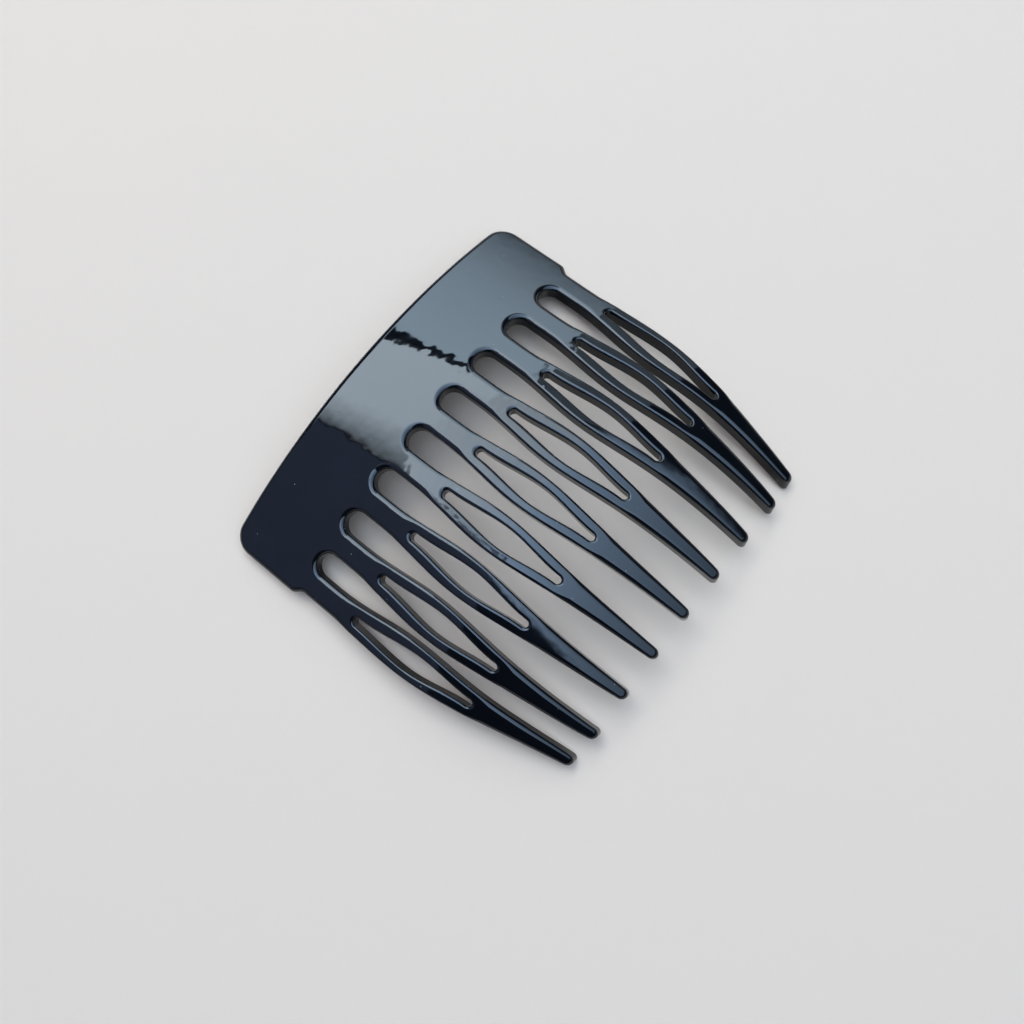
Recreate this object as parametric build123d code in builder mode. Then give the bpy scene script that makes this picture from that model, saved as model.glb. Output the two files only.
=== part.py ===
from build123d import *
import os
from math import atan2, cos, degrees, radians, sin, sqrt

# Decorative side comb, one moulding of polished cellulose acetate, in millimetres.
#
# The moulding is divided where a comb maker names its regions: the head plate, and nine
# tines that leave it at the root line, the line through the centres of the slot roots.
# Each tine meets the head plate face to face on that line.
#
# The comb's own frame: X across the tines, Y towards the head edge, Z out of the convex
# face, with the root line at Y 0 and the crown of the convex face at Z 0.  The whole comb
# is then laid on a table, convex side up, as it rests on its head corners and outer tips.

# ---- driving dimensions -------------------------------------------------------------
tine_count = 9
arch_radius = 90.0       # convex face, across the comb
thickness = 2.5
edge_radius = 0.4        # tumbled edges all round

head_width = 76.5        # measured round the arch
head_depth = 17.6        # from the head edge to the root line
corner_radius = 3.7      # outer corners of the head plate
shoulder_step = 1.25     # how far the head plate stands out past the outer tines
shoulder_height = 3.6    # where the shoulder begins, above the root line
shoulder_slope = 2.4     # length of the shoulder's S curve

root_radius = 2.2        # slot roots
tine_length = 52.4       # from the root line to the tip, measured along the tine
curl_start = 21.4        # the tine is straight this far, then curls towards the scalp
curl_radius = 68.0       # convex face of the curled stretch
neck_growth = 0.05       # each side of the tine has grown this much at the end of its neck
neck_at = 5.5
belly_gap = 2.1          # left between neighbouring tines where they are widest
belly_at = 17.4
taper_half_width = 2.25  # below the eye
taper_at = 33.0
tip_radius = 1.05

eye_start = 9.6          # centre of the eye's upper round end
eye_start_radius = 0.75
eye_belly_at = 21.8      # where the eye is widest
strand_width = 1.55      # the tine's material on each side of the eye's widest place
eye_end = 32.4           # centre of the eye's lower round end
eye_end_radius = 0.65

outer_lean = 2.4         # the outer tines' tips lean this far towards the middle
outer_shorter = 0.7      # and are this much shorter
outer_belly_trim = 0.3   # their outer side bulges this much less

# ---- derived values -----------------------------------------------------------------
# Between tine centres, round the arch: the slots and tines fill the head between its shoulders.
pitch = (head_width + 2 * (root_radius - neck_growth - shoulder_step)) / tine_count
tine_step = degrees(pitch / arch_radius)
head_angle = degrees(head_width / 2 / arch_radius)
middle = (tine_count - 1) / 2
root_half_width = pitch / 2 - root_radius
neck_half_width = root_half_width + neck_growth
belly_half_width = (pitch - belly_gap) / 2
eye_belly_half_width = belly_half_width - strand_width


def reach(length):
    """Distance from the root line on the comb's Y axis, for a length along the tine."""
    curled = max(length - curl_start, 0)
    return min(length, curl_start) + curl_radius * sin(curled / curl_radius)


def drop(length):
    """How far the convex face has curled down, for a length along the tine."""
    curled = max(length - curl_start, 0)
    return curl_radius * (1 - cos(curled / curl_radius))


def rest_points():
    """Where the laid comb touches the table, as (Y, Z): under a head corner and an outer tip."""
    under_head = (arch_radius - thickness) * cos(radians(head_angle)) - arch_radius
    distance = reach(tine_length - outer_shorter) - tip_radius / 2 - curl_start
    under_tip = arch_radius - curl_radius + sqrt((curl_radius - thickness) ** 2 - distance ** 2)
    turn = middle * pitch / arch_radius + (tip_radius / sqrt(2) - outer_lean) / under_tip
    corner = (head_depth - corner_radius, under_head)
    tip = (-curl_start - distance, under_tip * cos(turn) - arch_radius)
    return corner, tip


def laid_down(point, tilt):
    """A (Y, Z) point of the comb's own frame after the comb is tilted about X."""
    y, z = point
    return y * cos(tilt) - z * sin(tilt), y * sin(tilt) + z * cos(tilt)


corner_point, tip_point = rest_points()
rest_tilt = -atan2(corner_point[1] - tip_point[1], corner_point[0] - tip_point[0])
front = laid_down((head_depth, 0), rest_tilt)[0]
back = laid_down((-reach(tine_length), -drop(tine_length) - thickness), rest_tilt)[0]
lowest = laid_down(tip_point, rest_tilt)[1]

# origin on the table, under the middle of the laid comb
laid = Location((0, -(front + back) / 2, -lowest), (degrees(rest_tilt), 0, 0))


def arch_plane(angle):
    """The plane that touches the convex face at this angle round the arch."""
    centre = Location((0, 0, -arch_radius))
    return Plane(laid * centre * Location((0, 0, 0), (0, angle, 0)) * Location((0, 0, arch_radius)))


def section_plane(angle):
    """The lengthwise section at this angle: X runs along the comb's Y, Y runs outwards."""
    touching = arch_plane(angle)
    return Plane(origin=touching.origin, x_dir=touching.y_dir, z_dir=touching.x_dir)


arch_axis = Axis(arch_plane(0).from_local_coords((0, 0, -arch_radius)), arch_plane(0).y_dir)


def lean(length):
    """How far an outer tine has leaned towards the middle at this length."""
    return outer_lean * max(length - eye_start, 0) / (tine_length - eye_start)


def cutter_depth():
    """How far a cut on a touching plane goes each way to pass both faces everywhere."""
    return drop(tine_length) + 3 * thickness


def rims(solid, angle):
    """Edges between the comb's two broad faces and its walls, leaving out the root line."""
    outwards = arch_plane(angle).z_dir
    broad = [face for face in solid.faces() if abs(face.normal_at().dot(outwards)) > 0.5]
    broad_edges = [edge for face in broad for edge in face.edges()]
    return ShapeList(
        edge for edge in solid.edges()
        if broad_edges.count(edge) == 1 and not on_root_line(edge)
    )


def on_root_line(edge):
    """Whether an edge lies in the plane where the tines meet the head plate."""
    plane = arch_plane(0)
    ends = [plane.to_local_coords(edge @ share).Y for share in (0, 0.5, 1)]
    return all(abs(end) < 0.01 for end in ends)


def make_head_plate():
    """Arched plate with rounded outer corners, side shoulders and the slots' round roots."""
    slot_angles = [(index + 0.5 - middle) * tine_step for index in range(tine_count - 1)]
    with BuildPart() as head_plate:
        with BuildSketch(section_plane(-head_angle)):
            with Locations((head_depth / 2, -thickness / 2)):
                Rectangle(head_depth, thickness)
        revolve(axis=arch_axis, revolution_arc=2 * head_angle)
        outer_corners = head_plate.edges().filter_by(GeomType.LINE).group_by(arch_axis)[-1]
        fillet(outer_corners, corner_radius)

        for side in (-1, 1):
            shoulder_top = (0, shoulder_height)
            shoulder_foot = (-side * shoulder_step, shoulder_height - shoulder_slope)
            with BuildSketch(arch_plane(side * head_angle)):
                with BuildLine():
                    Spline(shoulder_top, shoulder_foot, tangents=((0, -1), (0, -1)))
                    Polyline(
                        shoulder_foot,
                        (-side * shoulder_step, -thickness),
                        (side * head_depth, -thickness),
                        (side * head_depth, shoulder_height),
                        shoulder_top,
                    )
                make_face()
            extrude(amount=cutter_depth(), both=True, mode=Mode.SUBTRACT)

        with BuildSketch(*[arch_plane(angle) for angle in slot_angles]):
            Circle(root_radius)
        extrude(amount=cutter_depth(), both=True, mode=Mode.SUBTRACT)
        fillet(rims(head_plate, 0), edge_radius)
    return head_plate


def make_tine(index):
    """One tine: its outline and its eye, cut through the arched and curled thickness."""
    place = index - middle
    outer = (place == middle) - (place == -middle)
    angle = place * tine_step
    length = tine_length - (outer_shorter if outer else 0)

    def point(across, distance):
        return across - outer * lean(distance), -reach(distance)

    def long_side(side):
        trim = outer_belly_trim if side == outer else 0
        root = neck_half_width if side == outer else root_half_width
        return [
            point(side * root, 0),
            point(side * neck_half_width, neck_at),
            point(side * (belly_half_width - trim), belly_at),
            point(side * taper_half_width, taper_at),
            point(side * tip_radius, length - tip_radius),
        ]

    def eye_side(side):
        return [
            point(side * eye_start_radius, eye_start),
            point(side * eye_belly_half_width, eye_belly_at),
            point(side * eye_end_radius, eye_end),
        ]

    along = (0, -1)
    taper_slope = (taper_half_width - tip_radius) / (length - tip_radius - taper_at)

    def outline_side(side):
        return Spline(*long_side(side), tangents=(along, (-side * taper_slope, -1)))

    with BuildPart() as tine:
        with BuildSketch(section_plane(angle - tine_step)):
            with BuildLine():
                past_tip = length + thickness - curl_start
                turn = degrees(past_tip / curl_radius)
                centre = (-curl_start, -curl_radius)
                top = Line((0, 0), (-curl_start, 0))
                top_curl = CenterArc(centre, curl_radius, 90, turn)
                bottom_curl = CenterArc(centre, curl_radius - thickness, 90, turn)
                Line(top_curl @ 1, bottom_curl @ 1)
                bottom = Line(bottom_curl @ 0, (0, -thickness))
                Line(bottom @ 1, top @ 0)
            make_face()
        revolve(axis=arch_axis, revolution_arc=2 * tine_step)

        with BuildSketch(arch_plane(angle)):
            with BuildLine():
                left = outline_side(-1)
                right = outline_side(1)
                ThreePointArc(left @ 1, point(0, length), right @ 1)
                Line(left @ 0, right @ 0)
            make_face()
            with BuildLine():
                left = Spline(*eye_side(-1), tangents=(along, along))
                right = Spline(*eye_side(1), tangents=(along, along))
                ThreePointArc(left @ 0, point(0, eye_start - eye_start_radius), right @ 0)
                ThreePointArc(left @ 1, point(0, eye_end + eye_end_radius), right @ 1)
            make_face(mode=Mode.SUBTRACT)
        extrude(amount=cutter_depth(), both=True, mode=Mode.INTERSECT)
        fillet(rims(tine, angle), edge_radius)
    return tine


os.makedirs("parts", exist_ok=True)

head_plate = make_head_plate()
head_plate.part.label = "head_plate"
export_step(head_plate.part, "parts/head_plate.step")

for number in range(1, tine_count + 1):
    tine = make_tine(number - 1)
    tine.part.label = f"tine_{number}"
    export_step(tine.part, f"parts/tine_{number}.step")
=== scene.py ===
import bpy
import numpy as np
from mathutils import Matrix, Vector
from mathutils.geometry import delaunay_2d_cdt


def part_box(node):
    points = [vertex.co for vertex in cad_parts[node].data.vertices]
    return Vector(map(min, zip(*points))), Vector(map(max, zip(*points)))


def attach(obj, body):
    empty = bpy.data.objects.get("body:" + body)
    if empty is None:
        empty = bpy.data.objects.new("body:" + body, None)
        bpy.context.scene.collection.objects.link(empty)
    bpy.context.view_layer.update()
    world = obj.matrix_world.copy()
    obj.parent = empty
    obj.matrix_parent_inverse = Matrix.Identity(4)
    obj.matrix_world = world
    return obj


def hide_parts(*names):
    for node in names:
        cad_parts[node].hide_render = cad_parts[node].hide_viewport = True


# Decorative side comb: polished black acetate, lying convex side up on a pale table.
# Lengths below are millimetres unless a note says metres. The comb's meshes are scaled to
# metres only when they are written.
# Flat pattern: x runs round the arch, y from the tips towards the head edge,
# and y = 0 is the root line, where the tines leave the head plate.

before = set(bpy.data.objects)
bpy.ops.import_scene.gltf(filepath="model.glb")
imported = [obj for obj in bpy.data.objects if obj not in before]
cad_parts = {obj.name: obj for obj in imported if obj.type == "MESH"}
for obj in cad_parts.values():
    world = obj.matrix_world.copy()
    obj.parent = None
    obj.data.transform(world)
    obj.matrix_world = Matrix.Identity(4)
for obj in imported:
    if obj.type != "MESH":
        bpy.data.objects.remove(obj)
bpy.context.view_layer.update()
print("frame loaded:", len(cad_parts), "nodes")

mm = 0.001

comb = {
    "tines": 9,
    "pitch": 8.7,          # between tine centres, round the arch
    "archRadius": 90.0,    # convex face, across the comb
    "thickness": 2.5,
    "curlStart": 21.4,     # a tine is straight this far from the root line
    "curlRadius": 68.0,    # then its convex face curls down on this radius
    "tilt": -3.78313,      # degrees, how the comb leans once it is laid down
    "tumbled": 0.4,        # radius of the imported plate's edges
}

head = {
    "width": 76.5,         # round the arch
    "depth": 17.6,         # head edge to root line
    "cornerRadius": 3.7,
    "shoulderStep": 1.25,
    "shoulderTop": 3.6,
    "shoulderSlope": 2.4,
    "rootRadius": 2.2,     # round ends of the slots
    "cornerSteps": 24,     # least number of steps round a corner
    "slotSteps": 30,       # and round a slot's end
    "room": 9.0,           # width beside the plate's outline, more than any shoulder needs
}

tine = {
    "length": 52.4,
    "neckAt": 5.5, "neck": 2.2,        # places along the tine, and half widths there
    "bellyAt": 17.4, "belly": 3.3,
    "taperAt": 33.0, "taper": 2.25,
    "tip": 1.05,
    "eyeTop": 9.6, "eyeTopRadius": 0.75,
    "eyeBellyAt": 21.8, "eyeBelly": 1.75,
    "eyeEnd": 32.4, "eyeEndRadius": 0.65,
    "outerLean": 2.4, "outerShorter": 0.7, "outerTrim": 0.3,    # how the two outer tines differ
    "tipSteps": 24, "eyeSteps": 20,    # least number of steps round the tip and the eye's ends
}

edge = {
    "shoulderWidth": 0.95,   # soft polished shoulder of the convex face
    "shoulderDepth": 0.62,
    "underWidth": 0.5,       # smaller round at the underside
    "underDepth": 0.45,
    "strandShare": 0.3,      # a shoulder never takes more of a strand's width than this
    "steps": 9,              # rings in each round
    "wallRings": 5,
    "spacing": 0.3,          # along an outline
    "fill": 0.75,            # between points inside an outline
    "clearOfRim": 0.45,      # share of that spacing kept free beside a rim
}

middle = (comb["tines"] - 1) / 2
rootHalf = comb["pitch"] / 2 - head["rootRadius"]     # half a tine's width on the root line
tiny = 1e-7                                           # points closer than this are one point


def steps(length, atLeast):
    # number of steps that a stretch of outline gets
    return max(int(np.ceil(length / edge["spacing"])), atLeast)


def smoothCurve(points, startDirection, endDirection, atLeast=16):
    # clamped cubic spline: the slopes at the points solve
    # h1*m0 + 2(h0+h1)*m1 + h0*m2 = 3(h1*(p1-p0)/h0 + h0*(p2-p1)/h1), h being the chord lengths
    p = np.array(points, float)
    h = np.linalg.norm(np.diff(p, axis=0), axis=1)
    n = len(p)
    system = np.eye(n)
    right = np.zeros((n, 2))
    right[0] = np.array(startDirection, float) / np.linalg.norm(startDirection)
    right[-1] = np.array(endDirection, float) / np.linalg.norm(endDirection)
    inner = np.arange(1, n - 1)
    system[inner, inner - 1] = h[1:]
    system[inner, inner] = 2 * (h[:-1] + h[1:])
    system[inner, inner + 1] = h[:-1]
    slope = np.diff(p, axis=0) / h[:, None]
    right[1:-1] = 3 * (h[1:, None] * slope[:-1] + h[:-1, None] * slope[1:])
    m = np.linalg.solve(system, right)
    knots = np.concatenate([[0], np.cumsum(h)])
    t = np.linspace(0, knots[-1], steps(knots[-1], atLeast) + 1)
    k = np.clip(np.searchsorted(knots, t, side="right") - 1, 0, n - 2)
    u = ((t - knots[k]) / h[k])[:, None]
    width = h[k][:, None]
    # Hermite blend of the two points and their slopes on each span
    return (p[k] * (1 + 2 * u) * (1 - u) ** 2 + m[k] * width * u * (1 - u) ** 2
            + p[k + 1] * u ** 2 * (3 - 2 * u) + m[k + 1] * width * u ** 2 * (u - 1))


def roundCurve(centre, radius, startAngle, endAngle, atLeast):
    # centre plus radius times (cos, sin) of an angle that runs evenly from start to end
    turn = np.radians(endAngle - startAngle)
    share = np.linspace(0, 1, steps(abs(turn) * radius, atLeast) + 1)
    a = np.radians(startAngle) + share * turn
    return np.array(centre) + radius * np.stack([np.cos(a), np.sin(a)], 1)


def bulgeCurve(start, top, end, atLeast):
    # arc of the circle through three points, whose centre is equally far from each of them
    a, b, c = (np.array(q, float) for q in (start, top, end))
    rows = 2 * np.array([b - a, c - a])
    centre = np.linalg.solve(rows, [b @ b - a @ a, c @ c - a @ a])
    radius = np.linalg.norm(a - centre)
    angle = [np.degrees(np.arctan2(*(q - centre)[::-1])) for q in (a, b, c)]
    sweep = (angle[2] - angle[0]) % 360
    if (angle[1] - angle[0]) % 360 > sweep:
        sweep -= 360
    return roundCurve(centre, radius, angle[0], angle[0] + sweep, atLeast)


def straight(start, end, atLeast=2):
    # evenly spaced points on the line from start to end
    a, b = np.array(start, float), np.array(end, float)
    t = np.linspace(0, 1, steps(np.linalg.norm(b - a), atLeast) + 1)[:, None]
    return a + (b - a) * t


def joined(*runs):
    # runs one after another, each start that repeats the last end left out
    return np.concatenate([runs[0]] + [run[1:] for run in runs[1:]])


def curl(y):
    # angle of the curl below the straight stretch: asin of (reach past curlStart) / curlRadius
    past = np.maximum(-y - comb["curlStart"], 0)
    return np.arcsin(past / comb["curlRadius"])


def reach(length):
    # y distance of a length along the tine: straight, then curlRadius * sin(length / curlRadius)
    past = np.maximum(length - comb["curlStart"], 0)
    curled = comb["curlRadius"] * np.sin(past / comb["curlRadius"])
    return np.minimum(length, comb["curlStart"]) + curled


def bend(flat, depth):
    # a flat pattern point x, y at a depth under the convex face goes to the angle x / archRadius
    # round the arch, on the radius that the curl leaves, less the depth over cos(curl)
    x, y = flat[..., 0], flat[..., 1]
    phi = curl(y)
    radius = comb["archRadius"] - comb["curlRadius"] * (1 - np.cos(phi)) - depth / np.cos(phi)
    theta = x / comb["archRadius"]
    return np.stack([radius * np.sin(theta), y, radius * np.cos(theta) - comb["archRadius"]], -1)


def bentNormal(flat, depth, normal):
    # a flat direction (x, y, up) turned by the same bend: the cross product of the bent steps
    # along two directions that lie across it
    small = 0.01             # mm, length of each step
    upright = 0.001          # a direction with less than this across it points straight up or down
    up = np.array([0.0, 0.0, 1.0])
    side = np.cross(normal, up)
    weak = np.linalg.norm(side, axis=-1, keepdims=True) < upright
    side = np.where(weak, np.array([1.0, 0.0, 0.0]), side)
    side /= np.linalg.norm(side, axis=-1, keepdims=True)
    other = np.cross(normal, side)

    def step(direction):
        ahead = bend(flat + small * direction[..., :2], depth - small * direction[..., 2])
        behind = bend(flat - small * direction[..., :2], depth + small * direction[..., 2])
        return ahead - behind

    turned = np.cross(step(side), step(other))
    return turned / np.linalg.norm(turned, axis=-1, keepdims=True)


def layDown(points):
    # the comb's own frame tilted about x, as it rests on its head corners and outer tips
    a = np.radians(comb["tilt"])
    turn = np.array([[1, 0, 0], [0, np.cos(a), -np.sin(a)], [0, np.sin(a), np.cos(a)]])
    return points @ turn.T


# the laid comb moves to where its head plate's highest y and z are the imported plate's own
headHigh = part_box("head_plate")[1]
highPoints = np.array([[0.0, head["depth"]], [0.0, 0.0]])
highest = layDown(bend(highPoints, np.array([comb["tumbled"], 0.0])))
place = np.array([0.0, headHigh.y / mm - highest[0, 1], headHigh.z / mm - highest[1, 2]])
print("comb placed at", place.round(3))


def inwardNormals(path, closed):
    # a quarter turn left of the path's direction, from central differences
    if closed:
        along = np.roll(path, -1, 0) - np.roll(path, 1, 0)
    else:
        along = np.gradient(path, axis=0)
        along[[0, -1], 0] = 0        # both ends square to the root line
    along /= np.linalg.norm(along, axis=1, keepdims=True)
    return np.stack([-along[:, 1], along[:, 0]], 1)


def edgeProfile(width, underWidth):
    # from the convex face to the underside: a quarter ellipse, a straight wall, a quarter ellipse.
    # Gives inward offset, depth, and the normal's inward and upward parts, for each ring and point
    a = np.linspace(0, np.pi / 2, edge["steps"] + 1)[:, None]
    scale = width / edge["shoulderWidth"]
    depth = edge["shoulderDepth"] * scale
    underScale = underWidth / edge["underWidth"]
    underDepth = edge["underDepth"] * underScale
    topIn = width * (1 - np.sin(a))
    topDown = depth * (1 - np.cos(a))
    topNormal = np.stack([-np.sin(a) * depth, np.cos(a) * width], -1)
    w = np.linspace(0, 1, edge["wallRings"] + 2)[1:-1, None]
    wallDown = depth + (comb["thickness"] - depth - underDepth) * w
    wallNormal = np.broadcast_to(np.array([-1.0, 0.0]), wallDown.shape + (2,))
    lowIn = underWidth * (1 - np.cos(a))
    lowDown = comb["thickness"] - underDepth * (1 - np.sin(a))
    lowNormal = np.stack([-np.cos(a) * underDepth, -np.sin(a) * underWidth], -1)
    inward = np.concatenate([topIn, wallDown * 0, lowIn])
    down = np.concatenate([topDown, wallDown, lowDown])
    normal = np.concatenate([topNormal, wallNormal, lowNormal])
    return inward, down, normal / np.linalg.norm(normal, axis=-1, keepdims=True)


def hexPoints(low, high, spacing):
    # rows of points, every other row moved by half a spacing
    rows = np.arange(low[1], high[1], spacing * np.sqrt(3) / 2)
    columns = np.arange(low[0], high[0], spacing)
    x, y = np.meshgrid(columns, rows)
    x = x + spacing / 2 * (np.arange(len(rows)) % 2)[:, None]
    return np.stack([x.ravel(), y.ravel()], 1)


def nearestGap(points, outline):
    # shortest distance from each point to the outline's points, a block of them at a time
    blockLength = 400
    gap = np.full(len(points), np.inf)
    for block in np.array_split(outline, max(len(outline) // blockLength, 1)):
        away = np.linalg.norm(points[:, None] - block[None], axis=2).min(1)
        gap = np.minimum(gap, away)
    return gap


def insideLoops(points, loops):
    # even-odd rule: a point is inside when a ray to the right crosses the loops an odd number
    # of times
    crossings = np.zeros(len(points), int)
    for loop in loops:
        a, b = loop, np.roll(loop, -1, 0)
        x, y = points[:, :1], points[:, 1:]
        spans = (a[:, 1] > y) != (b[:, 1] > y)
        run = np.where(b[:, 1] == a[:, 1], 1, b[:, 1] - a[:, 1])
        hit = a[:, 0] + (y - a[:, 1]) * (b[:, 0] - a[:, 0]) / run
        crossings += (spans & (x < hit)).sum(1)
    return crossings % 2 == 1


def wound(points, triangles, up):
    # triangles whose corners run anticlockwise, seen from above for up 1 and from below for -1
    a, b, c = (points[triangles[:, k]] for k in range(3))
    area = (b - a)[:, 0] * (c - a)[:, 1] - (b - a)[:, 1] * (c - a)[:, 0]
    wrong = area * up < 0
    triangles[wrong] = triangles[wrong][:, ::-1]
    return triangles


class Moulding:
    # gathers the bands, faces and cut faces of one piece, then writes them as one closed mesh

    def __init__(self, name):
        self.name = name
        self.flat, self.depth, self.normal, self.faces = [], [], [], []
        self.count = 0

    def add(self, flat, depth, normal):
        self.flat.append(flat.reshape(-1, 2))
        self.depth.append(depth.reshape(-1))
        self.normal.append(normal.reshape(-1, 3))
        start = self.count
        self.count += len(self.flat[-1])
        return start

    def band(self, path, closed, room):
        # the edge profile carried along an outline; material is on the path's left
        width = np.minimum(edge["shoulderWidth"], edge["strandShare"] * room)
        underWidth = np.minimum(edge["underWidth"], edge["strandShare"] * room)
        inward, down, normal = edgeProfile(width[None, :], underWidth[None, :])
        side = inwardNormals(path, closed)
        flat = path[None] + inward[..., None] * side[None]
        down = np.broadcast_to(down, inward.shape)
        direction = np.concatenate([normal[..., :1] * side[None], normal[..., 1:]], -1)
        start = self.add(flat, down, direction)
        rings, points = inward.shape
        index = start + np.arange(rings * points).reshape(rings, points)
        after = np.roll(index, -1, 1) if closed else index[:, 1:]
        before = index if closed else index[:, :-1]
        quads = np.stack([before[:-1], before[1:], after[1:], after[:-1]], -1)
        self.faces.append((quads.reshape(-1, 4), None))
        return flat, index

    def level(self, flat, depth, up):
        # points at one depth whose normals point straight up or down; gives their vertex numbers
        direction = np.zeros((len(flat), 3))
        direction[:, 2] = up
        return self.add(flat, np.full(len(flat), float(depth)), direction) + np.arange(len(flat))

    def fill(self, loops, depth, up):
        # a face inside closed loops of (flat points, vertex numbers), over a hexagonal net
        outlines = [flat for flat, index in loops]
        rims = np.concatenate(outlines)
        net = hexPoints(rims.min(0), rims.max(0), edge["fill"])
        net = net[insideLoops(net, outlines)]
        net = net[nearestGap(net, rims) > edge["fill"] * edge["clearOfRim"]]
        everything = np.concatenate([rims, net])
        lines = []
        start = 0
        for flat in outlines:
            k = start + np.arange(len(flat))
            lines.append(np.stack([k, np.roll(k, -1)], 1))
            start += len(flat)
        lines = np.concatenate(lines).tolist()
        # output 0 is every triangle between the points; those outside the loops are dropped
        made = delaunay_2d_cdt([Vector(p) for p in everything], lines, [], 0, tiny)
        corners, triangles = np.array([tuple(p) for p in made[0]]), np.array(made[2])
        source = np.array([origin[0] for origin in made[3]])
        inside = insideLoops(corners[triangles].mean(1), outlines)
        triangles = wound(everything, source[triangles[inside]], up)
        number = np.concatenate([index for flat, index in loops] + [self.level(net, depth, up)])
        self.faces.append((number[triangles], None))

    def cut(self, leftRings, rightRings, topRun, underRun, facing):
        # the closed face on the root line, between two edge profiles, in the plane y = 0
        around = np.concatenate([leftRings, underRun, rightRings[::-1], topRun[::-1]])
        across = np.concatenate(self.flat)[around, 0]
        section = np.stack([across, -np.concatenate(self.depth)[around]], 1)
        rim = [list(range(len(section)))]
        # output 1 is only the triangles inside the rim
        made = delaunay_2d_cdt([Vector(p) for p in section], [], rim, 1, tiny)
        source = np.array([origin[0] for origin in made[3]])
        triangles = wound(section, source[np.array(made[2])], -facing)
        self.faces.append((around[triangles], np.array([0.0, facing, 0.0])))

    def write(self):
        flat = np.concatenate(self.flat)
        depth = np.concatenate(self.depth)
        direction = np.concatenate(self.normal)
        points = layDown(bend(flat, depth)) + place
        normals = layDown(bentNormal(flat, depth, direction))
        cornerNormals = [normals[group.ravel()] if facing is None
                         else np.broadcast_to(layDown(facing), (group.size, 3))
                         for group, facing in self.faces]
        mesh = bpy.data.meshes.new(self.name)
        faces = [row for group, facing in self.faces for row in group.tolist()]
        mesh.from_pydata((points * mm).tolist(), [], faces)
        mesh.polygons.foreach_set("use_smooth", np.ones(len(mesh.polygons), bool))
        mesh.normals_split_custom_set(np.concatenate(cornerNormals).tolist())
        mesh.update()
        piece = bpy.data.objects.new(self.name, mesh)
        bpy.context.collection.objects.link(piece)
        return piece


# each broad face: its ring of the edge profile, its depth, and which way it looks
broadFaces = ((0, 0.0, 1), (-1, comb["thickness"], -1))


def rootRun(low, high):
    # points on the root line between two inner edges, shared by the head plate and a tine
    count = int(np.ceil((high - low) / edge["fill"])) + 1
    x = np.linspace(low, high, count)[1:-1]
    return np.stack([x, x * 0], 1)


def roomAcross(outline, eye, left, right, tip):
    # along the outline: the tine's own width, and less where the eye leaves only a strand
    across = np.concatenate([
        nearestGap(left, right),
        np.full(len(tip) - 2, np.linalg.norm(tip[0] - tip[-1])),
        nearestGap(right, left)[::-1],
    ])
    return np.minimum(nearestGap(outline, eye), across)


def makeTine(number):
    # one tine: outline, eye, both broad faces and the cut face at the root line
    index = number - 1
    centre = (index - middle) * comb["pitch"]
    outer = int(index == comb["tines"] - 1) - int(index == 0)
    length = tine["length"] - abs(outer) * tine["outerShorter"]
    leanRun = tine["length"] - tine["eyeTop"]

    def spot(across, along):
        # outer tines lean towards the middle, evenly from the eye's top to the tip
        lean = outer * tine["outerLean"] * max(along - tine["eyeTop"], 0) / leanRun
        return [centre + across - lean, -reach(along)]

    def side(sign):
        trim = tine["outerTrim"] if sign == outer else 0
        root = tine["neck"] if sign == outer else rootHalf
        slope = (tine["taper"] - tine["tip"]) / (length - tine["tip"] - tine["taperAt"])
        points = [
            spot(sign * root, 0),
            spot(sign * tine["neck"], tine["neckAt"]),
            spot(sign * (tine["belly"] - trim), tine["bellyAt"]),
            spot(sign * tine["taper"], tine["taperAt"]),
            spot(sign * tine["tip"], length - tine["tip"]),
        ]
        return smoothCurve(points, (0, -1), (-sign * slope, -1))

    left, right = side(-1), side(1)
    tip = bulgeCurve(left[-1], spot(0, length), right[-1], tine["tipSteps"])
    outline = joined(left, tip, right[::-1])       # down the left side and up the right one

    def eyeSide(sign):
        points = [
            spot(sign * tine["eyeTopRadius"], tine["eyeTop"]),
            spot(sign * tine["eyeBelly"], tine["eyeBellyAt"]),
            spot(sign * tine["eyeEndRadius"], tine["eyeEnd"]),
        ]
        return smoothCurve(points, (0, -1), (0, -1))

    eyeLeft, eyeRight = eyeSide(-1), eyeSide(1)
    crown = spot(0, tine["eyeTop"] - tine["eyeTopRadius"])
    foot = spot(0, tine["eyeEnd"] + tine["eyeEndRadius"])
    eyeTop = bulgeCurve(eyeRight[0], crown, eyeLeft[0], tine["eyeSteps"])
    eyeLow = bulgeCurve(eyeLeft[-1], foot, eyeRight[-1], tine["eyeSteps"])
    eye = joined(eyeTop, eyeLeft, eyeLow, eyeRight[::-1])[:-1][::-1]

    body = Moulding(f"tine_{number}")
    room = roomAcross(outline, eye, left, right, tip)
    outlineFlat, outlineIndex = body.band(outline, False, room)
    eyeFlat, eyeIndex = body.band(eye, True, nearestGap(eye, outline))

    rims, joins = [], []
    for ring, depth, up in broadFaces:
        run = rootRun(outlineFlat[ring, 0, 0], outlineFlat[ring, -1, 0])
        join = body.level(run, depth, up)
        flat = np.concatenate([outlineFlat[ring], run[::-1]])
        rim = (flat, np.concatenate([outlineIndex[ring], join[::-1]]))
        rims.append([rim, (eyeFlat[ring], eyeIndex[ring])])
        joins.append(join)
    for loops, (ring, depth, up) in zip(rims, broadFaces):
        body.fill(loops, depth, up)
    body.cut(outlineIndex[:, 0], outlineIndex[:, -1], *joins, 1)
    return body.write()


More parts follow.
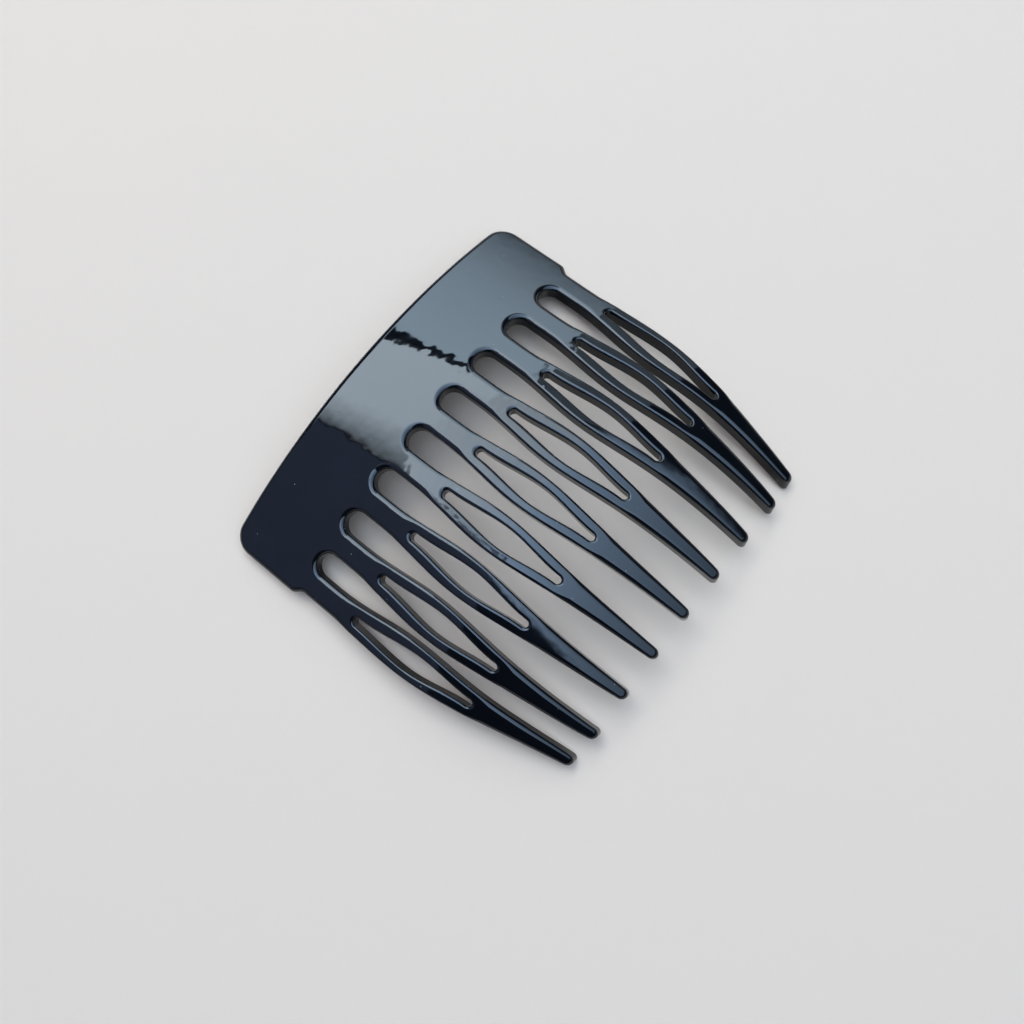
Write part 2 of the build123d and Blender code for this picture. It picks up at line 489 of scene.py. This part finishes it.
def makeHeadPlate():
    # the plate's outline runs along both ends, the head edge and the slots' round roots
    halfWidth = head["width"] / 2
    foot = halfWidth - head["shoulderStep"]
    footTop = head["shoulderTop"] - head["shoulderSlope"]
    corner = head["cornerRadius"]
    cornerX, cornerY = halfWidth - corner, head["depth"] - corner

    def endRun(sign):
        # from the root line up the shoulder's S curve to where the corner starts
        atFoot, atTop = (sign * foot, footTop), (sign * halfWidth, head["shoulderTop"])
        return joined(
            straight((sign * foot, 0), atFoot),
            smoothCurve([atFoot, atTop], (0, 1), (0, 1)),
            straight(atTop, (sign * halfWidth, cornerY)),
        )

    rightCorner = roundCurve((cornerX, cornerY), corner, 0, 90, head["cornerSteps"])
    leftCorner = roundCurve((-cornerX, cornerY), corner, 90, 180, head["cornerSteps"])
    headEdge = straight(rightCorner[-1], leftCorner[0])
    outline = joined(endRun(1), rightCorner, headEdge, leftCorner, endRun(-1)[::-1])

    body = Moulding("head_plate")
    runs = [body.band(outline, False, np.full(len(outline), head["room"]))]
    for slot in range(comb["tines"] - 1):
        centre = (slot + 0.5 - middle) * comb["pitch"]
        arc = roundCurve((centre, 0), head["rootRadius"], 180, 0, head["slotSteps"])
        runs.append(body.band(arc, False, np.full(len(arc), 2 * rootHalf)))
    following = runs[1:] + runs[:1]

    rims, joins = [], []
    for ring, depth, up in broadFaces:
        flat, index, faceJoins = [], [], []
        for (runFlat, runIndex), (nextFlat, nextIndex) in zip(runs, following):
            run = rootRun(runFlat[ring, -1, 0], nextFlat[ring, 0, 0])
            faceJoins.append(body.level(run, depth, up))
            flat += [runFlat[ring], run]
            index += [runIndex[ring], faceJoins[-1]]
        rims.append((np.concatenate(flat), np.concatenate(index)))
        joins.append(faceJoins)
    for rim, (ring, depth, up) in zip(rims, broadFaces):
        body.fill([rim], depth, up)
    for (runFlat, runIndex), (nextFlat, nextIndex), top, under in zip(runs, following, *joins):
        body.cut(runIndex[:, -1], nextIndex[:, 0], top, under, -1)
    return body.write()


pieces = [makeHeadPlate()]
print("head plate made:", len(pieces[0].data.polygons), "faces")
for number in range(1, comb["tines"] + 1):
    pieces.append(makeTine(number))
print("tines made:", sum(len(p.data.polygons) for p in pieces[1:]), "faces")


def linear(hexColour):
    # sRGB hex to linear: ((c + 0.055) / 1.055) ** 2.4, or c / 12.92 in the darkest part
    c = np.array([int(hexColour[k:k + 2], 16) / 255 for k in (1, 3, 5)])
    value = np.where(c > 0.04045, ((c + 0.055) / 1.055) ** 2.4, c / 12.92)
    return (*value.tolist(), 1.0)


def addNode(material, kind, settings=None, inputs=None, links=None):
    # a node with its settings, its socket values, and links given as {socket: (node, output)}
    node = material.node_tree.nodes.new(kind)
    for name, value in (settings or {}).items():
        setattr(node, name, value)
    for name, value in (inputs or {}).items():
        node.inputs[name].default_value = value
    for name, (source, output) in (links or {}).items():
        material.node_tree.links.new(source.outputs[output], node.inputs[name])
    return node


def newMaterial(name):
    material = bpy.data.materials.new(name)
    material.use_nodes = True
    material.node_tree.nodes.clear()
    return material


acetate = {
    "black": "#07080b",
    "haze": "#0b0c10",       # where the polish has gone a little dull
    "dust": "#8d9094",
    "ior": 1.48,             # cellulose acetate
    "polish": 0.035,         # roughness of the buffed face
    "dull": 0.085,           # and where it is hazy
    "hazeFrom": 0.48,        # noise level where the haze begins
    "hazeTo": 0.72,          # and where it is full
    "hazeWidth": 9.0,        # mm, as are the widths, heights and spacing below
    "waveWidth": 12.0,       # slow undulation that sawing and buffing leave
    "waveHeight": 0.03,
    "rippleWidth": 2.5,
    "rippleHeight": 0.006,
    "hairWidth": 0.35,       # buffing hairlines, drawn coarser than the real 0.02 to show
    "hairStretch": 0.03,     # their width as a share of their length
    "hairHeight": 0.00004,
    "dustSpacing": 2.3,
    "dustSize": 0.035,       # speck radius as a share of the spacing
    "dustCore": 0.6,         # share of the speck's radius where it is thickest
    "dustRough": 0.5,
}


def polishedBlackAcetate():
    # cellulose acetate sheet, sawn, tumbled and buffed: a deep blue-black with a wet shine, whose
    # reflections run slightly wavy, with faint haze, buffing hairlines and a few specks of dust
    material = newMaterial("polished_black_acetate")
    here = addNode(material, "ShaderNodeTexCoord")
    perMetre = 1 / mm
    noiseSwing = 0.3         # share of its range that a soft noise really uses

    def pattern(width, detail, stretch=1):
        # noise whose blotches are about width millimetres across, and longer along y and z
        # where stretch is less than 1
        scaled = addNode(material, "ShaderNodeMapping",
                         inputs={"Scale": (1, stretch, stretch)},
                         links={"Vector": (here, "Object")})
        return addNode(material, "ShaderNodeTexNoise",
                       inputs={"Scale": perMetre / width, "Detail": detail},
                       links={"Vector": (scaled, "Vector")})

    def spread(source, output, low, high, start, end):
        # low to high becomes start to end
        return addNode(material, "ShaderNodeMapRange",
                       inputs={"From Min": low, "From Max": high, "To Min": start, "To Max": end},
                       links={"Value": (source, output)})

    wave = pattern(acetate["waveWidth"], detail=0.0)
    ripple = pattern(acetate["rippleWidth"], detail=1.0)
    hazy = pattern(acetate["hazeWidth"], detail=4.0)
    dull = spread(hazy, "Fac", acetate["hazeFrom"], acetate["hazeTo"], 0.0, 1.0)
    hairline = pattern(acetate["hairWidth"], detail=3.0, stretch=acetate["hairStretch"])
    cells = addNode(material, "ShaderNodeTexVoronoi",
                    inputs={"Scale": perMetre / acetate["dustSpacing"]},
                    links={"Vector": (here, "Object")})
    core = acetate["dustSize"] * acetate["dustCore"]
    dust = spread(cells, "Distance", core, acetate["dustSize"], 1.0, 0.0)

    # sockets 6 and 7 of a colour mix are its two colours, and 2 is its colour output
    base = addNode(material, "ShaderNodeMix", {"data_type": "RGBA"},
                   {6: linear(acetate["black"]), 7: linear(acetate["haze"])},
                   {0: (dull, "Result")})
    colour = addNode(material, "ShaderNodeMix", {"data_type": "RGBA"},
                     {7: linear(acetate["dust"])}, {0: (dust, "Result"), 6: (base, 2)})
    rough = addNode(material, "ShaderNodeMix", {"data_type": "FLOAT"},
                    {2: acetate["polish"], 3: acetate["dull"]}, {0: (dull, "Result")})
    roughness = addNode(material, "ShaderNodeMath", {"operation": "MULTIPLY_ADD"},
                        {1: acetate["dustRough"]}, {0: (dust, "Result"), 2: (rough, 0)})

    def bumped(source, height, below=None):
        # a noise as relief of this height in millimetres, over the relief below it
        links = {"Height": (source, "Fac")}
        if below:
            links["Normal"] = (below, "Normal")
        return addNode(material, "ShaderNodeBump",
                       inputs={"Distance": height * mm / noiseSwing}, links=links)

    slow = bumped(wave, acetate["waveHeight"])
    finer = bumped(ripple, acetate["rippleHeight"], slow)
    buffed = bumped(hairline, acetate["hairHeight"], finer)
    shader = addNode(material, "ShaderNodeBsdfPrincipled",
                     inputs={"IOR": acetate["ior"], "Metallic": 0.0},
                     links={"Base Color": (colour, 2), "Roughness": (roughness, "Value"),
                            "Normal": (buffed, "Normal")})
    addNode(material, "ShaderNodeOutputMaterial", links={"Surface": (shader, "BSDF")})
    return material


blackAcetate = polishedBlackAcetate()
for piece in pieces:
    node = piece.name.split(".")[0]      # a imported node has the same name, so Blender adds .001
    piece.data.materials.append(blackAcetate)
    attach(piece, "root")
    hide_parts(node)
    piece.name = "polished_" + node
print("acetate on", len(pieces), "pieces")

table = {
    "top": "#d8bca5",        # warm enough to look neutral under the cool softboxes
    "size": 1.6,             # metres
    "roughness": 0.9,
    "grain": 1.2,            # mm, the board's tooth
    "toothHeight": 0.03,
    "toothStrength": 0.5,
}


def paleBoard():
    # matt painted board: no shine, and a tooth that is only just there
    material = newMaterial("pale_matt_board")
    here = addNode(material, "ShaderNodeTexCoord")
    tooth = addNode(material, "ShaderNodeTexNoise",
                    inputs={"Scale": 1 / (table["grain"] * mm), "Detail": 3.0},
                    links={"Vector": (here, "Object")})
    bump = addNode(material, "ShaderNodeBump",
                   inputs={"Distance": table["toothHeight"] * mm,
                           "Strength": table["toothStrength"]},
                   links={"Height": (tooth, "Fac")})
    shader = addNode(material, "ShaderNodeBsdfPrincipled",
                     inputs={"Base Color": linear(table["top"]), "Roughness": table["roughness"]},
                     links={"Normal": (bump, "Normal")})
    addNode(material, "ShaderNodeOutputMaterial", links={"Surface": (shader, "BSDF")})
    return material


def layTable():
    # one square sheet on which the comb rests
    half = table["size"] / 2
    corners = [(-half, -half, 0), (half, -half, 0), (half, half, 0), (-half, half, 0)]
    mesh = bpy.data.meshes.new("table_top")
    mesh.from_pydata(corners, [], [[0, 1, 2, 3]])
    mesh.materials.append(paleBoard())
    sheet = bpy.data.objects.new("table_top", mesh)
    bpy.context.collection.objects.link(sheet)


layTable()
print("table laid")

# Softboxes hang level above the comb. A corner is given by two angles from straight up, in degrees,
# leaning to +x and to +y, because that is where the comb's polished face mirrors it.
# Corners run lower left, lower right, upper right, upper left.
# glow: strength at the upper left. fallRight: share of it lost at the right side.
# low: share left at the lower side, reached by the power curve. tintHigh: tint at the upper side.
# softLeft, softRight: share of the width over which that side fades out.
studio = {
    "height": 1.0,           # metres above the table
    "grid": 32,              # faces along each side of a softbox
    "blend": 0.12,           # share of the way up in which tint goes over to tintHigh
    "fadePower": 0.6,        # softLeft fades steeply first, then levels
    "softboxes": {
        "key": {
            "corners": [(-9, 25.3), (31.3, 24.6), (3.3, 40), (-15, 40)],
            "tint": "#def0ff", "glow": 9.4, "low": 0.82, "curve": 0.25, "softLeft": 0.33,
        },
        "side": {
            "corners": [(31.7, 24.65), (72, 46), (70, 64), (14.5, 40)],
            "tint": "#cee9ff", "glow": 7.4, "fallRight": 0.95,
        },
        "dim": {
            "corners": [(35.5, 12), (68, 12), (72, 45.8), (33.4, 24.7)],
            "tint": "#cee9ff", "glow": 1.0,
        },
        "tips": {
            "corners": [(-31, -56), (46, -56), (33, 24.6), (-14, 25.4)],
            "tint": "#b9daff", "tintHigh": "#def0ff", "glow": 9.4, "low": 0.2, "curve": 2.4,
            "softLeft": 0.03, "softRight": 0.08, "fallRight": 0.38,
        },
        "fill": {
            "corners": [(-60, 12), (-4.8, 12), (-28.4, 60), (-64, 60)],
            "tint": "#b8ceff", "glow": 0.5, "fallRight": -0.35,
        },
    },
    "horizon": "#e4e6e8",
    "horizonTo": 0.08,       # height of a direction, 0 level and 1 straight up, where it darkens
    "zenith": "#20242c",
    "zenithFrom": 0.3,
}


def smooth(t):
    # 0 to 1 with a level start and end: t * t * (3 - 2t)
    t = np.clip(t, 0, 1)
    return t * t * (3 - 2 * t)


def litCloth(name):
    # white nylon cloth with lamps behind it: no shine of its own, only the glow on its points
    material = newMaterial("lit_cloth_" + name)
    level = addNode(material, "ShaderNodeAttribute", {"attribute_name": "glow"})
    lamp = addNode(material, "ShaderNodeEmission", links={"Color": (level, "Color")})
    addNode(material, "ShaderNodeOutputMaterial", links={"Surface": (lamp, "Emission")})
    return material


def softbox(name, box):
    # a sheet facing down, whose corner places blend evenly in u and v, at height * tan(angle).
    # Glow is glow * (1 - fallRight * u) * (low + (1 - low) * v ** curve), within its soft sides
    angles = np.radians(np.array(box["corners"], float))
    lowLeft, lowRight, highRight, highLeft = np.tan(angles) * studio["height"]
    n = studio["grid"]
    v, u = np.meshgrid(np.linspace(0, 1, n + 1), np.linspace(0, 1, n + 1), indexing="ij")
    u, v = u.reshape(-1, 1), v.reshape(-1, 1)
    flat = (lowLeft * (1 - u) + lowRight * u) * (1 - v) + (highLeft * (1 - u) + highRight * u) * v
    corners = np.concatenate([flat, np.full_like(u, studio["height"])], 1)

    low = box.get("low", 1.0)
    glow = box["glow"] * (1 - box.get("fallRight", 0.0) * u)
    glow = glow * (low + (1 - low) * v ** box.get("curve", 1.0))
    if "softLeft" in box:
        glow = glow * np.clip(u / box["softLeft"], 0, 1) ** studio["fadePower"]
    if "softRight" in box:
        glow = glow * smooth((1 - u) / box["softRight"])
    tint = np.array(linear(box["tint"]))
    tintHigh = np.array(linear(box.get("tintHigh", box["tint"])))
    colour = glow * (tint + (tintHigh - tint) * smooth((v - 1 + studio["blend"]) / studio["blend"]))

    index = np.arange((n + 1) ** 2).reshape(n + 1, n + 1)
    faces = np.stack([index[:-1, :-1], index[1:, :-1], index[1:, 1:], index[:-1, 1:]], -1)
    mesh = bpy.data.meshes.new(name)
    mesh.from_pydata(corners.tolist(), [], faces.reshape(-1, 4).tolist())
    glows = mesh.attributes.new("glow", "FLOAT_COLOR", "POINT")
    glows.data.foreach_set("color", colour.ravel())
    mesh.materials.append(litCloth(name))
    sheet = bpy.data.objects.new("softbox_" + name, mesh)
    sheet.visible_camera = False
    bpy.context.collection.objects.link(sheet)


def studioSky():
    # dark overhead and pale at the horizon: the two colours mixed by the direction's height
    world = bpy.data.worlds.new("studio")
    bpy.context.scene.world = world
    world.use_nodes = True
    world.node_tree.nodes.clear()
    here = addNode(world, "ShaderNodeTexCoord")
    split = addNode(world, "ShaderNodeSeparateXYZ", links={"Vector": (here, "Generated")})
    high = addNode(world, "ShaderNodeMapRange", {"interpolation_type": "SMOOTHSTEP"},
                   {"From Min": studio["horizonTo"], "From Max": studio["zenithFrom"]},
                   {"Value": (split, "Z")})
    tone = addNode(world, "ShaderNodeMix", {"data_type": "RGBA"},
                   {6: linear(studio["horizon"]), 7: linear(studio["zenith"])},
                   {0: (high, "Result")})
    sky = addNode(world, "ShaderNodeBackground", links={"Color": (tone, 2)})
    addNode(world, "ShaderNodeOutputWorld", links={"Surface": (sky, "Background")})


for name, box in studio["softboxes"].items():
    softbox(name, box)
studioSky()
print("lights up")

view = {
    "place": (-23.754, -35.27, 170.608),     # mm
    "turn": (12.5232, 4.7431, -51.1136),     # degrees
    "lens": 36,
    "sensor": 36,
    "clipStart": 0.01,                       # metres
}
cameraData = bpy.data.cameras.new("camera")
cameraData.lens = view["lens"]
cameraData.sensor_width = view["sensor"]
cameraData.clip_start = view["clipStart"]
camera = bpy.data.objects.new("camera", cameraData)
camera.location = [c * mm for c in view["place"]]
camera.rotation_euler = [np.radians(a) for a in view["turn"]]
bpy.context.collection.objects.link(camera)
bpy.context.scene.camera = camera
bpy.context.scene.view_settings.view_transform = "Standard"
print("camera set")

bpy.context.view_layer.update()
